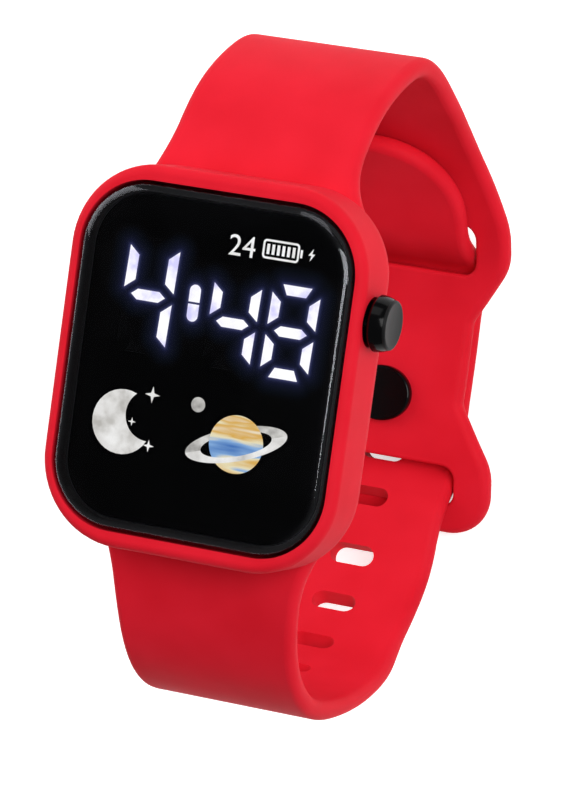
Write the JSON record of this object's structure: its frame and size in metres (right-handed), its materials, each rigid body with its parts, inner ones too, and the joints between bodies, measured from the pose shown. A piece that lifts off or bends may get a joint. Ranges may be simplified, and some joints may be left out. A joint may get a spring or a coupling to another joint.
{
  "type": "wrist watch",
  "caption": "Square-faced watch with a glowing digital time display, a one-piece soft case and strap closed into a loop by a stud, and a round side button.",
  "frame": {"origin": "centre of the case back's outer face", "axes": "+Z out of the dial, +Y towards 12 o'clock, +X towards the side button at 3 o'clock"},
  "size_m": [0.0389, 0.0787, 0.0664],
  "materials": {
    "silicone": "satin",
    "stud": "gloss",
    "lens": "gloss",
    "tape": "matte",
    "film": "matte",
    "diffuser": "matte",
    "light_box": "matte",
    "led": "gloss",
    "board": "satin",
    "chip": "matte",
    "can": "satin",
    "ceramic": "matte",
    "cell": "satin",
    "foam": "matte",
    "spring_steel": "satin",
    "housing": "matte",
    "cover": "satin",
    "seal": "matte",
    "screw": "satin",
    "button": "gloss",
    "switch": "matte",
    "plunger": "matte"
  },
  "bodies": {
    "watch": {"silicone_case_strap": "silicone", "stud_base": "stud", "stud_head": "stud", "lens": "lens", "lens_tape": "tape", "mask_film": "film", "diffuser_sheet": "diffuser", "light_box": "light_box", "led_chips": "led", "circuit_board": "board", "controller_chip": "chip", "crystal": "can", "chip_components": "ceramic", "battery": "cell", "battery_holder": "housing", "battery_pad": "foam", "battery_negative_contact": "spring_steel", "battery_positive_clip": "spring_steel", "module_housing": "housing", "back_cover": "cover", "back_gasket": "seal", "back_screws": "screw", "button_seal": "seal", "switch_body": "switch"},
    "button": {"side_button": "button", "button_clip": "spring_steel"},
    "plunger": {"switch_plunger": "plunger"}
  },
  "joints": [
    {"name": "button_slide", "type": "slide", "parent": "watch", "child": "button", "axis": [1, 0, 0], "range_m": [-0.0003, 0], "stiffness_N_per_m": 1500},
    {"name": "plunger_slide", "type": "slide", "parent": "watch", "child": "plunger", "axis": [1, 0, 0], "range_m": [-0.0003, 0]}
  ],
  "couplings": [
    {"joint": "plunger_slide", "follows": "button_slide", "ratio": 1}
  ]
}
